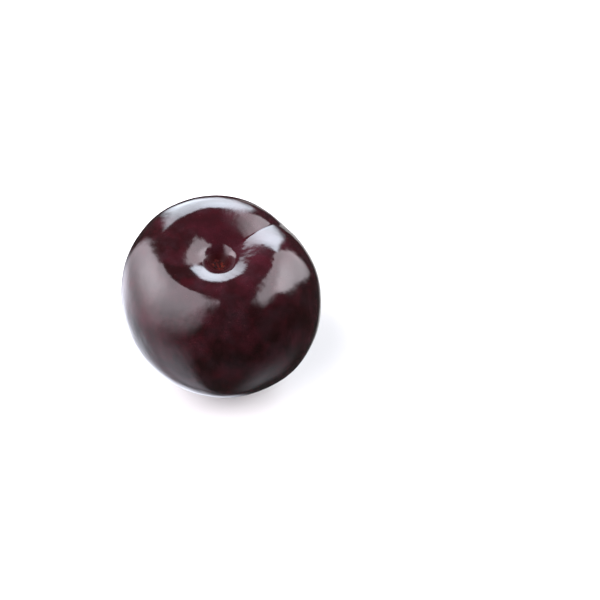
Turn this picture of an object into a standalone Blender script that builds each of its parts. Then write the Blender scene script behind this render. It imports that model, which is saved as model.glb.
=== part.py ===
"""A ripe dark plum, picked without its stalk, as one closed solid.

Metres, with +Z up the stem axis and the stem cavity on top. The suture, the shallow
groove that runs from the stem cavity to the tip, is on the +Y side, so the two full
cheeks lie along X. The origin is the middle of the flat spot that the fruit rests on.
"""

from math import acos, atan2, cos, exp, pi, sin, tanh

import bmesh
import bpy
from mathutils import Vector

# Driving dimensions of the body
ACROSS_CHEEKS = 0.0655
SUTURE_TO_BACK = 0.0610
TOP_HEIGHT = 0.0288  # from the widest level up to where the top would be with no cavity
TIP_HEIGHT = 0.0323  # from the widest level down to the tip, before the flat spot
FULLNESS = 2.16  # 2 gives an ellipse, more gives squarer shoulders
LOBES = 0.009  # how far the girth leans from an oval to three soft lobes, of its radius

# Stem cavity: a wide bowl with a narrow throat in its middle
BOWL_DEPTH = 0.0072
BOWL_RADIUS = 0.0136
BOWL_POWER = 2.7  # 2 gives a bell curve, more gives a flatter floor and steeper walls
BOWL_LEAN = 0.09  # how much further the bowl reaches towards the suture, of its radius
BOWL_LEAN_ASIDE = 0.09  # and towards the -X cheek
THROAT_DEPTH = 0.0046
THROAT_RADIUS = 0.0053
THROAT_POWER = 3.2

# Suture: a shallow valley
SUTURE_DEPTH = 0.0038
SUTURE_HALF_WIDTH = 0.0079
SUTURE_POWER = 1.41  # nearer 1 gives a sharper valley line
SUTURE_AT_TIP = 0.08  # its depth near the tip, of its depth over the shoulder
SUTURE_DEEPEST = 0.65  # angle from the stem axis where it is deepest, in radians
SUTURE_SPAN = 0.38  # angle over which it fades from there
SUTURE_SIDE = 3.7  # how sharply it keeps to its own side
SUTURE_CLEAR = 0.2  # sine of the angle at each pole inside which it dies out

# Flat spot
REST_RADIUS = 0.006

# Facets: the rings stand closer together at the poles, where the cavity is
SEGMENTS = 64
RINGS = 46
RING_CROWDING = 0.07

# Skin
SKIN_COLOUR = (0.045, 0.010, 0.014, 1.0)
SKIN_ROUGHNESS = 0.2

MEAN_RADIUS = (ACROSS_CHEEKS + SUTURE_TO_BACK) / 4
OVAL = (ACROSS_CHEEKS - SUTURE_TO_BACK) / (ACROSS_CHEEKS + SUTURE_TO_BACK)
REST_DROP = (1 - (REST_RADIUS / MEAN_RADIUS) ** FULLNESS) ** (1 / FULLNESS) * TIP_HEIGHT


def remove_everything():
    """Empty the scene, so that the script gives the same result wherever it is run."""
    for thing in list(bpy.data.objects):
        bpy.data.objects.remove(thing, do_unlink=True)


def body_radius(polar, around):
    """Distance from the middle to the plain body: a superellipsoid, slightly oval and lobed."""
    out = sin(polar)
    up = cos(polar)
    girth = MEAN_RADIUS * (1 + out**2 * (OVAL * cos(2 * around) + LOBES * sin(3 * around)))
    height = TOP_HEIGHT if up > 0 else TIP_HEIGHT
    return ((out / girth) ** FULLNESS + (abs(up) / height) ** FULLNESS) ** (-1 / FULLNESS)


def cavity_press(polar, around):
    """How far the stem cavity presses the surface in: the bowl and, in its middle, the throat."""
    reach = polar * TOP_HEIGHT
    lean = BOWL_LEAN * sin(around) - BOWL_LEAN_ASIDE * cos(around)
    bowl_radius = BOWL_RADIUS * (1 + lean)
    bowl = BOWL_DEPTH * exp(-((reach / bowl_radius) ** BOWL_POWER))
    throat = THROAT_DEPTH * exp(-((reach / THROAT_RADIUS) ** THROAT_POWER))
    return bowl + throat


def suture_press(polar, around):
    """How far the suture presses the surface in: deepest over the shoulder, faint at the tip."""
    sideways = MEAN_RADIUS * sin(polar) * cos(around)
    across = exp(-((abs(sideways) / SUTURE_HALF_WIDTH) ** SUTURE_POWER))
    own_side = 0.5 + 0.5 * tanh(SUTURE_SIDE * sin(around))
    shoulder = exp(-(((polar - SUTURE_DEEPEST) / SUTURE_SPAN) ** 2))
    along = SUTURE_AT_TIP + (1 - SUTURE_AT_TIP) * shoulder
    clear_of_poles = 1 - exp(-((sin(polar) / SUTURE_CLEAR) ** 2))
    return SUTURE_DEPTH * across * own_side * along * clear_of_poles


def skin_point(polar, around):
    """The point of the surface in a direction, given by its two angles from the middle."""
    radius = body_radius(polar, around)
    radius -= cavity_press(polar, around) + suture_press(polar, around)
    return Vector(
        (
            radius * sin(polar) * cos(around),
            radius * sin(polar) * sin(around),
            radius * cos(polar) + REST_DROP,
        )
    )


def crowded(polar):
    """Move a ring's angle towards the nearer pole."""
    return polar - RING_CROWDING * pi * sin(2 * polar)


def cut_flat_spot(mesh):
    """Cut off what reaches below the rest plane and close the cut with one flat face."""
    bmesh.ops.bisect_plane(
        mesh,
        geom=mesh.verts[:] + mesh.edges[:] + mesh.faces[:],
        plane_co=(0, 0, 0),
        plane_no=(0, 0, -1),
        clear_outer=True,
    )
    bmesh.ops.holes_fill(mesh, edges=[edge for edge in mesh.edges if edge.is_boundary], sides=0)


def skin_material():
    """Glossy, very dark red-purple skin."""
    material = bpy.data.materials.new("plum_skin")
    material.use_nodes = True
    shader = material.node_tree.nodes["Principled BSDF"]
    shader.inputs["Base Color"].default_value = SKIN_COLOUR
    shader.inputs["Roughness"].default_value = SKIN_ROUGHNESS
    shader.inputs["Metallic"].default_value = 0.0
    return material


def make_plum(collection):
    """A sphere whose points are moved out to the plum's surface, then cut flat below."""
    shape = bmesh.new()
    bmesh.ops.create_uvsphere(shape, u_segments=SEGMENTS, v_segments=RINGS, radius=1)
    for vertex in shape.verts:
        polar = acos(max(-1.0, min(1.0, vertex.co.z)))
        vertex.co = skin_point(crowded(polar), atan2(vertex.co.y, vertex.co.x))
    cut_flat_spot(shape)
    bmesh.ops.recalc_face_normals(shape, faces=shape.faces)
    mesh = bpy.data.meshes.new("plum")
    shape.to_mesh(mesh)
    shape.free()
    mesh.shade_smooth()
    mesh.materials.append(skin_material())
    plum = bpy.data.objects.new("plum", mesh)
    collection.objects.link(plum)
    return plum


def main():
    remove_everything()
    collection = bpy.data.collections.new("plum")
    bpy.context.scene.collection.children.link(collection)
    make_plum(collection)


main()
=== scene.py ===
"""The looks of a ripe dark plum: glossy skin with a thin waxy bloom, a corky stem scar at the
bottom of the cavity and a dry blossom scar at the tip.

Metres, +Z up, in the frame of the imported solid: the stem axis is Z, the suture is on the
+Y side, and the fruit rests on a small flat spot at z = 0.
"""

from math import cos, pi, radians, sin, sqrt

import bpy
import numpy as np
from mathutils import Matrix, Vector


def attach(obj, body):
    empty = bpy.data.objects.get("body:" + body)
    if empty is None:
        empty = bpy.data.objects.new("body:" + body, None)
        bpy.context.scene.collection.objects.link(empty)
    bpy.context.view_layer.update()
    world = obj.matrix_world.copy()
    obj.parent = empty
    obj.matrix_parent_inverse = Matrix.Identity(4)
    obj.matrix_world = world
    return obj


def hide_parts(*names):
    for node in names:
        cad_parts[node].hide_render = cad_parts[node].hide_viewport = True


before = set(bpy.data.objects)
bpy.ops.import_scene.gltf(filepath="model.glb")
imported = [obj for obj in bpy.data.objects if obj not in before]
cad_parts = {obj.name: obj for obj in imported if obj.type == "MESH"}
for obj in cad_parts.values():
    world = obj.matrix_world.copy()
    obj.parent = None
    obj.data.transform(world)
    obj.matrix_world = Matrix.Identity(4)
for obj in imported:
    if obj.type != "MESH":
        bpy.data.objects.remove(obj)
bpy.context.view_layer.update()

# The fruit's form, as in the solid
ACROSS_CHEEKS = 0.0655
SUTURE_TO_BACK = 0.0610
TOP_HEIGHT = 0.0288
TIP_HEIGHT = 0.0323
FULLNESS = 2.16
LOBES = 0.009
BOWL_DEPTH = 0.0072
BOWL_RADIUS = 0.0136
BOWL_POWER = 2.7
BOWL_LEAN = 0.09
BOWL_LEAN_ASIDE = 0.09
THROAT_DEPTH = 0.0046
THROAT_RADIUS = 0.0053
THROAT_POWER = 3.2
SUTURE_DEPTH = 0.0038
SUTURE_HALF_WIDTH = 0.0079
SUTURE_POWER = 1.41
SUTURE_AT_TIP = 0.08
SUTURE_DEEPEST = 0.65
SUTURE_SPAN = 0.38
SUTURE_SIDE = 3.7
SUTURE_CLEAR = 0.2
REST_RADIUS = 0.006
MEAN_RADIUS = (ACROSS_CHEEKS + SUTURE_TO_BACK) / 4
OVAL = (ACROSS_CHEEKS - SUTURE_TO_BACK) / (ACROSS_CHEEKS + SUTURE_TO_BACK)
REST_DROP = (1 - (REST_RADIUS / MEAN_RADIUS) ** FULLNESS) ** (1 / FULLNESS) * TIP_HEIGHT

# The skin's own fine relief, which the solid leaves out: (wavelength, height) of each scale
SWELLS = ((0.016, 0.00007), (0.006, 0.000012), (0.0024, 0.000005))
WAVES_PER_SCALE = 28
RELIEF_SEED = 11
CREASE_DEPTH = 0.00008
CREASE_HALF_WIDTH = 0.0010
PUCKERS = 84  # fine radial wrinkles, if they went all round the cavity
# Their distance from the stem axis, their turn round it in radians, the spread of each, and height
PUCKER_PATCHES = (
    (0.0208, 2.13, 0.0032, 0.20, 0.000018),
    (0.0140, 0.34, 0.0020, 0.22, 0.000009),
)

# Where the skin's finish changes, in radians from the stem axis and round it
STEM_FLUSH_REACH = 0.8  # the redder skin round the cavity
STEM_FLUSH = 0.55
STEM_FLUSH_LEAN = 0.35  # and how much redder still it is on the suture's side
DULL_POLAR = 0.60  # a duller patch between the cavity and the shoulder, beside the suture
DULL_AROUND = 1.95
DULL_SPREAD = 0.17
DULL_SWEEP = 0.30
TIP_SCAR_RADIUS = 0.0015

# The skin's grid: the rows stand closer together at the poles
SKIN_ROWS = 300
SKIN_COLUMNS = 324
ROW_CROWDING = 0.07

# The photograph's view and frame
VIEW_BEARING = 47.0  # degrees the camera is turned from looking along +Y
VIEW_ELEVATION = 58.0
FRAME_PIXELS = 600
PIXEL = 0.0003165  # what one pixel of the photograph covers at the fruit
FRUIT_PIXEL = (220.7, 295.3)  # where the fruit's middle is seen
LENS = 150.0
SENSOR = 36.0


def linear(colour):
    """A hex sRGB colour as linear red, green, blue and alpha."""
    parts = np.array([int(colour[i : i + 2], 16) for i in (1, 3, 5)]) / 255
    parts = np.where(parts <= 0.04045, parts / 12.92, ((parts + 0.055) / 1.055) ** 2.4)
    return (*parts.tolist(), 1.0)


def body_radius(polar, around):
    """A superellipsoid's radius, with a slightly oval and three-lobed girth."""
    out = np.sin(polar)
    up = np.cos(polar)
    girth = MEAN_RADIUS * (1 + out**2 * (OVAL * np.cos(2 * around) + LOBES * np.sin(3 * around)))
    height = np.where(up > 0, TOP_HEIGHT, TIP_HEIGHT)
    return ((out / girth) ** FULLNESS + (np.abs(up) / height) ** FULLNESS) ** (-1 / FULLNESS)


def cavity_press(polar, around):
    """Two bell curves of the angle from the stem axis: a wide bowl, which reaches a little
    further towards the suture and the -X cheek, and a narrow throat."""
    reach = polar * TOP_HEIGHT
    lean = BOWL_LEAN * np.sin(around) - BOWL_LEAN_ASIDE * np.cos(around)
    bowl_radius = BOWL_RADIUS * (1 + lean)
    bowl = BOWL_DEPTH * np.exp(-((reach / bowl_radius) ** BOWL_POWER))
    throat = THROAT_DEPTH * np.exp(-((reach / THROAT_RADIUS) ** THROAT_POWER))
    return bowl + throat


def suture_press(polar, around):
    """A soft V across the suture's plane, with a fine crease, fading from shoulder to tip."""
    sideways = MEAN_RADIUS * np.sin(polar) * np.cos(around)
    across = SUTURE_DEPTH * np.exp(-(np.abs(sideways / SUTURE_HALF_WIDTH) ** SUTURE_POWER))
    crease = CREASE_DEPTH * np.exp(-((sideways / CREASE_HALF_WIDTH) ** 2))
    own_side = 0.5 + 0.5 * np.tanh(SUTURE_SIDE * np.sin(around))
    shoulder = np.exp(-(((polar - SUTURE_DEEPEST) / SUTURE_SPAN) ** 2))
    along = SUTURE_AT_TIP + (1 - SUTURE_AT_TIP) * shoulder
    clear_of_poles = 1 - np.exp(-((np.sin(polar) / SUTURE_CLEAR) ** 2))
    return (across + crease) * own_side * along * clear_of_poles


def swells(polar, around):
    """Random smooth relief: at each scale, plane waves in seeded random directions, summed."""
    draw = np.random.default_rng(RELIEF_SEED)
    place = MEAN_RADIUS * np.stack(
        [np.sin(polar) * np.cos(around), np.sin(polar) * np.sin(around), np.cos(polar)], axis=-1
    )
    total = np.zeros_like(polar)
    for wavelength, height in SWELLS:
        ways = draw.normal(size=(WAVES_PER_SCALE, 3))
        ways *= 2 * pi / wavelength / np.linalg.norm(ways, axis=1, keepdims=True)
        starts = draw.uniform(0, 2 * pi, WAVES_PER_SCALE)
        for way, start in zip(ways, starts):
            total += height * sqrt(2 / WAVES_PER_SCALE) * np.cos(place @ way + start)
    return total


def puckers(polar, around):
    """Fine wrinkles that run out of the cavity: a cosine in the turn round the stem axis, bent by
    slower waves in both angles, within bell-shaped patches."""
    reach = MEAN_RADIUS * polar
    height = 0
    for middle, turn, spread, sweep, top in PUCKER_PATCHES:
        away = ((reach - middle) / spread) ** 2 + ((around - turn) / sweep) ** 2
        height = height + top * np.exp(-away)
    bend = 2.1 * np.sin(9 * polar + 5 * around) + 1.6 * np.sin(23 * polar - 13 * around)
    return height * np.cos(PUCKERS * around + bend)


def skin_points(polar, around):
    """Points of the surface: the pressed body plus relief, with what is below z = 0 held at it."""
    radius = body_radius(polar, around) - cavity_press(polar, around) - suture_press(polar, around)
    radius = radius + swells(polar, around) + puckers(polar, around)
    points = np.stack(
        [
            radius * np.sin(polar) * np.cos(around),
            radius * np.sin(polar) * np.sin(around),
            radius * np.cos(polar) + REST_DROP,
        ],
        axis=-1,
    )
    points[..., 2] = np.maximum(points[..., 2], 0)
    return points


def closed_mesh(name, top, rings, bottom):
    """A mesh of rings of points from top to bottom, closed by a fan at each end."""
    rows, columns = rings.shape[:2]
    points = np.concatenate([[top], rings.reshape(-1, 3), [bottom]])
    here = 1 + np.arange(rows * columns).reshape(rows, columns)
    beside = np.roll(here, -1, axis=1)
    quads = np.stack([here[:-1], here[1:], beside[1:], beside[:-1]], axis=-1).reshape(-1, 4)
    first = np.stack([np.zeros(columns, int), here[0], beside[0]], axis=-1)
    last = np.stack([np.full(columns, len(points) - 1), beside[-1], here[-1]], axis=-1)
    mesh = bpy.data.meshes.new(name)
    mesh.from_pydata(points.tolist(), [], first.tolist() + quads.tolist() + last.tolist())
    mesh.shade_smooth()
    return mesh


def surface_value(mesh, name, values):
    """Store one number per point of the mesh, for its material to read."""
    layer = mesh.attributes.new(name, "FLOAT", "POINT")
    layer.data.foreach_set("value", np.asarray(values, np.float32))


def add(tree, kind, settings=None, links=None):
    """Add a node: settings are its own fields, links are its inputs' values or feeding sockets."""
    node = tree.nodes.new(kind)
    for field, value in (settings or {}).items():
        setattr(node, field, value)
    for socket, value in (links or {}).items():
        if isinstance(value, bpy.types.NodeSocket):
            tree.links.new(value, node.inputs[socket])
        else:
            node.inputs[socket].default_value = value
    return node


def new_material(name):
    """An empty material and its node tree."""
    material = bpy.data.materials.new(name)
    material.use_nodes = True
    material.node_tree.nodes.clear()
    return material, material.node_tree


def per_mm(size):
    """The texture scale that gives features of this size in millimetres."""
    return 1000 / size


def number(tree, operation, *values, clamp=False):
    """A Math node's result."""
    settings = {"operation": operation, "use_clamp": clamp}
    return add(tree, "ShaderNodeMath", settings, dict(enumerate(values))).outputs[0]


def vector(tree, operation, *values):
    """A Vector Math node, whose values may be sockets or triples."""
    return add(tree, "ShaderNodeVectorMath", {"operation": operation}, dict(enumerate(values)))


def spots(tree, place, size, low, high, detail=3.0):
    """Noise of this size in millimetres, stretched so that low gives 0 and high gives 1."""
    noise = add(
        tree,
        "ShaderNodeTexNoise",
        links={"Vector": place, "Scale": per_mm(size), "Detail": detail, "Roughness": 0.6},
    )
    share = add(
        tree,
        "ShaderNodeMapRange",
        links={"Value": noise.outputs["Fac"], "From Min": low, "From Max": high},
    )
    return share.outputs["Result"]


def blend(tree, share, first, second):
    """A colour between two, each a hex colour or a socket."""
    ends = [linear(end) if isinstance(end, str) else end for end in (first, second)]
    node = add(
        tree,
        "ShaderNodeMix",
        {"data_type": "RGBA"},
        {"Factor": share, 6: ends[0], 7: ends[1]},
    )
    return node.outputs[2]


# Sizes of the skin's marks in millimetres, the grain drawn as coarse as it needs to show, and
# the grain's depth in metres
PIGMENT_CLOUD_MM = 11
FLECK_MM = 4
BLOOM_MM = 7
SHEEN_CLOUD_MM = 5
LENTICEL_SPACING_MM = 2.4
GRAIN_MM = 1.3
GRAIN_DEPTH = 0.000022


def ripe_plum_skin():
    """Ripe plum skin: a thin waxed cuticle over almost black purple flesh colour.

    The wax gives clear, slightly ragged reflections; the colour under it turns wine red
    where the pigment is thinner, above all in the stem cavity. A faint bloom clouds it in
    places, the throat of the cavity is dull and red, and the blossom scar at the tip is brown.
    """
    material, tree = new_material("ripe_plum_skin")
    place = add(tree, "ShaderNodeTexCoord").outputs["Object"]
    near_stem, throat, dull, tip = [
        add(tree, "ShaderNodeAttribute", {"attribute_name": name}).outputs["Fac"]
        for name in ("near_stem", "throat", "dull", "tip")
    ]

    clouds = spots(tree, place, PIGMENT_CLOUD_MM, 0.46, 0.80, 4.0)
    thin_pigment = number(tree, "MULTIPLY_ADD", near_stem, 0.9, clouds, clamp=True)
    colour = blend(tree, thin_pigment, "#170808", "#341219")
    flecks = number(tree, "MULTIPLY", spots(tree, place, FLECK_MM, 0.50, 0.80, 2.0), 0.5)
    colour = blend(tree, flecks, colour, "#370d14")
    bloom = number(tree, "MULTIPLY", spots(tree, place, BLOOM_MM, 0.45, 0.80, 5.0), 0.02)
    colour = blend(tree, bloom, colour, "#a79aac")

    # Lenticels: tiny corky dots
    scale = per_mm(LENTICEL_SPACING_MM)
    cells = add(tree, "ShaderNodeTexVoronoi", links={"Vector": place, "Scale": scale})
    dot = add(
        tree,
        "ShaderNodeMapRange",
        links={"Value": cells.outputs["Distance"], "From Min": 0.10, "From Max": 0.06},
    )
    dot = number(tree, "MULTIPLY", dot.outputs["Result"], 0.1)
    colour = blend(tree, dot, colour, "#6e4a44")
    colour = blend(tree, throat, colour, "#30080a")
    colour = blend(tree, tip, colour, "#5a3a2a")

    # The wax is worn off in the throat, at the tip and, in part, on the dull patch
    clouds = spots(tree, place, SHEEN_CLOUD_MM, 0.4, 0.75)
    roughness = number(tree, "MULTIPLY_ADD", clouds, 0.05, 0.085)
    for where, added in ((throat, 0.38), (dull, 0.22), (tip, 0.5)):
        roughness = number(tree, "MULTIPLY_ADD", where, added, roughness)
    shine = number(tree, "MULTIPLY_ADD", throat, -0.36, 0.5)
    shine = number(tree, "MULTIPLY_ADD", dull, -0.12, shine)
    fine = add(
        tree,
        "ShaderNodeTexNoise",
        links={"Vector": place, "Scale": per_mm(GRAIN_MM), "Detail": 3.0, "Roughness": 0.55},
    )
    bump = add(
        tree,
        "ShaderNodeBump",
        links={"Height": fine.outputs["Fac"], "Distance": GRAIN_DEPTH, "Strength": 1.0},
    )
    shader = add(
        tree,
        "ShaderNodeBsdfPrincipled",
        links={
            "Base Color": colour,
            "Roughness": roughness,
            "Specular IOR Level": shine,
            "IOR": 1.5,
            "Normal": bump.outputs["Normal"],
        },
    )
    add(tree, "ShaderNodeOutputMaterial", links={"Surface": shader.outputs[0]})
    return material


STAIN_MM = 1.1
RUST_MM = 0.8
FIBRE_MM = 0.35
FIBRE_DEPTH = 0.00008


def torn_cork():
    """Cork, as the torn-off stalk leaves it: dry fibres, dull, from dark red to rusty orange."""
    material, tree = new_material("torn_cork")
    place = add(tree, "ShaderNodeTexCoord").outputs["Object"]
    colour = blend(tree, spots(tree, place, STAIN_MM, 0.42, 0.66), "#26070a", "#5a120e")
    colour = blend(tree, spots(tree, place, RUST_MM, 0.60, 0.72), colour, "#8e3c1e")
    fibres = add(
        tree,
        "ShaderNodeTexNoise",
        links={"Vector": place, "Scale": per_mm(FIBRE_MM), "Detail": 3.0, "Roughness": 0.6},
    )
    bump = add(
        tree,
        "ShaderNodeBump",
        links={"Height": fibres.outputs["Fac"], "Distance": FIBRE_DEPTH, "Strength": 1.0},
    )
    shader = add(
        tree,
        "ShaderNodeBsdfPrincipled",
        links={
            "Base Color": colour,
            "Roughness": 0.75,
            "Specular IOR Level": 0.25,
            "IOR": 1.45,
            "Normal": bump.outputs["Normal"],
        },
    )
    add(tree, "ShaderNodeOutputMaterial", links={"Surface": shader.outputs[0]})
    return material


def make_skin():
    """The whole skin as one grid of points in the two angles, fine enough for its relief. Bell curves
    of those angles say where its finish changes."""
    steps = np.linspace(0, pi, SKIN_ROWS + 1)
    steps = steps - ROW_CROWDING * pi * np.sin(2 * steps)
    turn = np.arange(SKIN_COLUMNS) * 2 * pi / SKIN_COLUMNS
    polar, around = np.meshgrid(steps[1:-1], turn, indexing="ij")
    rings = skin_points(polar, around)
    ends = skin_points(np.array([0.0, pi]), np.array([0.0, 0.0]))
    mesh = closed_mesh("skin", ends[0], rings, ends[1])
    flush = STEM_FLUSH + STEM_FLUSH_LEAN * np.sin(around)
    near_stem = flush * np.exp(-((polar / STEM_FLUSH_REACH) ** 3))
    in_throat = np.exp(-((polar * TOP_HEIGHT / THROAT_RADIUS) ** 8))
    dull_away = ((polar - DULL_POLAR) / DULL_SPREAD) ** 2 + ((around - DULL_AROUND) / DULL_SWEEP) ** 2
    in_tip = np.exp(-(((pi - polar) * MEAN_RADIUS / TIP_SCAR_RADIUS) ** 4))
    kinds = (
        ("near_stem", near_stem, STEM_FLUSH, 0),
        ("throat", in_throat, 1, 0),
        ("dull", np.exp(-dull_away), 0, 0),
        ("tip", in_tip, 0, 1),
    )
    for name, values, top, bottom in kinds:
        surface_value(mesh, name, np.concatenate([[top], values.ravel(), [bottom]]))
    mesh.materials.append(ripe_plum_skin())
    skin = bpy.data.objects.new("skin", mesh)
    bpy.context.scene.collection.objects.link(skin)
    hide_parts("plum")
    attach(skin, "root")
    return skin


SCAR_RADIUS = 0.0022
SCAR_HEIGHT = 0.0005
SCAR_SUNK = 0.0005
SCAR_TOP_SHARE = 0.75  # the rest of the profile turns back under the rim
SCAR_RINGS = 36
SCAR_COLUMNS = 96


def make_stem_scar():
    """A torn disc that follows the throat's floor: a profile, from its middle to a rim sunk into
    the skin and back under it, roughened by waves in the turn and along it."""
    run, around = np.meshgrid(
        np.linspace(0, 1, SCAR_RINGS + 2)[1:-1],
        np.arange(SCAR_COLUMNS) * 2 * pi / SCAR_COLUMNS,
        indexing="ij",
    )
    outline = 1 + 0.12 * np.sin(2 * around + 1) + 0.08 * np.sin(5 * around) + 0.04 * np.sin(13 * around)
    top_run = np.minimum(run / SCAR_TOP_SHARE, 1)
    under_run = np.maximum((run - SCAR_TOP_SHARE) / (1 - SCAR_TOP_SHARE), 0)
    rim = np.exp(-(((top_run - 0.72) / 0.2) ** 2))
    torn = np.sin(17 * around + 9 * top_run) * np.sin(6 * around - 14 * top_run)
    fine = np.sin(29 * around - 21 * top_run + 2) * np.cos(11 * around + 33 * top_run)
    height = SCAR_HEIGHT * (0.25 + 0.3 * rim + 0.4 * torn * top_run + 0.25 * fine * top_run)
    height = height * np.sqrt(1 - top_run**6) - SCAR_SUNK * (top_run**6)
    floor = skin_points(np.array([0.0]), np.array([0.0]))[0][2]
    widest = SCAR_RADIUS / (floor - REST_DROP)
    rings = skin_points(widest * outline * top_run * (1 - under_run), around)
    rings[..., 2] += height
    top = (0, 0, floor + 0.25 * SCAR_HEIGHT)
    bottom = (0, 0, floor - SCAR_SUNK)
    mesh = closed_mesh("stem_scar", top, rings, bottom)
    mesh.materials.append(torn_cork())
    scar = bpy.data.objects.new("stem_scar", mesh)
    bpy.context.scene.collection.objects.link(scar)
    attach(scar, "root")
    return scar


def view_axes():
    """The camera's right, up and backward directions."""
    bearing = radians(VIEW_BEARING)
    rise = radians(VIEW_ELEVATION)
    ahead = Vector((-sin(bearing), cos(bearing), 0))
    right = Vector((cos(bearing), sin(bearing), 0))
    back = -ahead * cos(rise) + Vector((0, 0, sin(rise)))
    return right, back.cross(right), back


def make_camera():
    """A long lens at the photograph's angle, with the fruit where the photograph has it."""
    right, up, back = view_axes()
    middle = Vector((0, 0, REST_DROP))
    across = (FRAME_PIXELS / 2 - FRUIT_PIXEL[0]) * PIXEL
    down = (FRAME_PIXELS / 2 - FRUIT_PIXEL[1]) * PIXEL
    distance = FRAME_PIXELS * PIXEL * LENS / SENSOR
    data = bpy.data.cameras.new("camera")
    data.lens = LENS
    data.sensor_width = SENSOR
    camera = bpy.data.objects.new("camera", data)
    turn = Matrix((right, up, back)).transposed().to_4x4()
    place = middle + right * across - up * down + back * distance
    camera.matrix_world = Matrix.Translation(place) @ turn
    bpy.context.scene.collection.objects.link(camera)
    bpy.context.scene.camera = camera


FLOOR_HALF = 4.0


def make_floor():
    """A plain, very pale floor. It is left out of what the skin mirrors, because the panels that
    reach below the horizon stand for it there."""
    material, tree = new_material("pale_floor")
    shader = add(
        tree,
        "ShaderNodeBsdfPrincipled",
        links={"Base Color": linear("#e8ece8"), "Roughness": 0.6, "Specular IOR Level": 0.2},
    )
    add(tree, "ShaderNodeOutputMaterial", links={"Surface": shader.outputs[0]})
    mesh = bpy.data.meshes.new("floor")
    corners = [(FLOOR_HALF * x, FLOOR_HALF * y, 0) for x, y in ((-1, -1), (1, -1), (1, 1), (-1, 1))]
    mesh.from_pydata(corners, [], [(0, 1, 2, 3)])
    mesh.materials.append(material)
    floor = bpy.data.objects.new("floor", mesh)
    floor.visible_glossy = False
    bpy.context.scene.collection.objects.link(floor)


def ramp(tree, value, middle, soft):
    """Rises smoothly from 0 to 1 as value passes middle, over soft degrees each way."""
    links = {"Value": value, "From Min": middle - soft, "From Max": middle + soft}
    return add(tree, "ShaderNodeMapRange", {"interpolation_type": "SMOOTHSTEP"}, links).outputs["Result"]


def panel(tree, bearing, rise, edges, colour, radiance):
    """The light of one soft panel, by direction.

    edges are its left, right, lower and upper limits, each (limit, lean, softness), in degrees.
    A side leans with the rise above the horizon, and an end leans with the bearing.
    """
    share = 1.0
    across = ((bearing, rise), (bearing, rise), (rise, bearing), (rise, bearing))
    for (limit, lean, soft), (value, other), inward in zip(edges, across, (1, -1, 1, -1)):
        leaning = number(tree, "MULTIPLY_ADD", other, -lean, value)
        signed = number(tree, "MULTIPLY", leaning, inward)
        share = number(tree, "MULTIPLY", share, ramp(tree, signed, inward * limit, soft))
    scaled = vector(tree, "SCALE", [radiance * part for part in linear(colour)[:3]])
    tree.links.new(share, scaled.inputs["Scale"])
    return scaled.outputs[0]


# Each soft panel's left, right, lower and upper edge, its colour and its radiance. They add up.
PANELS = {
    "left": (((-124, -0.5, 20), (-45, -0.17, 3), (-30, -0.25, 40), (80, 0, 8)), "#fff4ff", 4.8),
    "left_core": (((-98, 0, 20), (-56, 0, 16), (2, 0, 22), (42, 0, 20)), "#fff8ff", 3.7),
    "left_glow": (((-80, 0, 35), (-99, -1.35, 13), (-78, 0, 12), (-26, 0, 14)), "#eef1ff", 2.4),
    "key": (((-25, -0.25, 5), (24, 0.1, 4), (-20, 0.73, 9), (26.3, 0.12, 2.5)), "#e9f3ff", 5.7),
    "key_core": (((-10, 0, 16), (21, 0.1, 5), (3, 0, 14), (27, 0.12, 3)), "#e2f0ff", 6.7),
    "right": (((40.5, -0.52, 3.5), (69.5, 0.59, 2), (-16, 0, 16), (40, 0, 7)), "#fff7ff", 4.8),
    "right_core": (((52, 0, 18), (76, 0.3, 6), (14, 0, 18), (40, 0, 8)), "#fff7ff", 3.8),
    "strip": (((-24, 1.2, 4), (110, 0.03, 16), (40, 0, 7), (59, 0, 5)), "#fff7ff", 4.9),
    "rim": (((8, 0, 5), (30, 0, 7), (-62, 0, 5), (-14, -1, 3)), "#ffffff", 0.8),
    "front_left": (((-142, 0, 12), (-103, 0, 15), (-78, 0, 12), (-18, 0, 20)), "#f2f0ff", 1.05),
    "front_right": (((110, 0, 30), (155, 0, 25), (-78, 0, 12), (-45, 0, 25)), "#f4f4ff", 0.6),
}
DIM = 0.04  # the room around the panels


def make_world():
    """Pale where the camera sees past the floor. What the fruit mirrors is a dim room with soft
    panels, given by bearing from straight behind the fruit, positive to the camera's right, and
    by rise above the horizon."""
    world = bpy.data.worlds.new("studio")
    world.use_nodes = True
    tree = world.node_tree
    tree.nodes.clear()
    way = add(tree, "ShaderNodeTexCoord").outputs["Generated"]
    turn = radians(VIEW_BEARING)
    right = vector(tree, "DOT_PRODUCT", way, (cos(turn), sin(turn), 0)).outputs["Value"]
    ahead = vector(tree, "DOT_PRODUCT", way, (-sin(turn), cos(turn), 0)).outputs["Value"]
    height = vector(tree, "DOT_PRODUCT", way, (0, 0, 1)).outputs["Value"]
    bearing = number(tree, "DEGREES", number(tree, "ARCTAN2", right, ahead))
    rise = number(tree, "DEGREES", number(tree, "ARCSINE", height))
    light = (DIM, DIM, DIM)
    for edges, colour, radiance in PANELS.values():
        lit = panel(tree, bearing, rise, edges, colour, radiance)
        light = vector(tree, "ADD", light, lit).outputs[0]
    studio = add(tree, "ShaderNodeBackground", links={"Color": light})
    pale = add(tree, "ShaderNodeBackground", links={"Color": linear("#ffffff")})
    seen = add(tree, "ShaderNodeLightPath").outputs["Is Camera Ray"]
    mixed = add(
        tree, "ShaderNodeMixShader", links={0: seen, 1: studio.outputs[0], 2: pale.outputs[0]}
    )
    add(tree, "ShaderNodeOutputWorld", links={"Surface": mixed.outputs[0]})
    bpy.context.scene.world = world


def main():
    make_camera()
    make_world()
    make_floor()
    bpy.context.scene.view_settings.view_transform = "Standard"
    make_skin()
    make_stem_scar()


main()
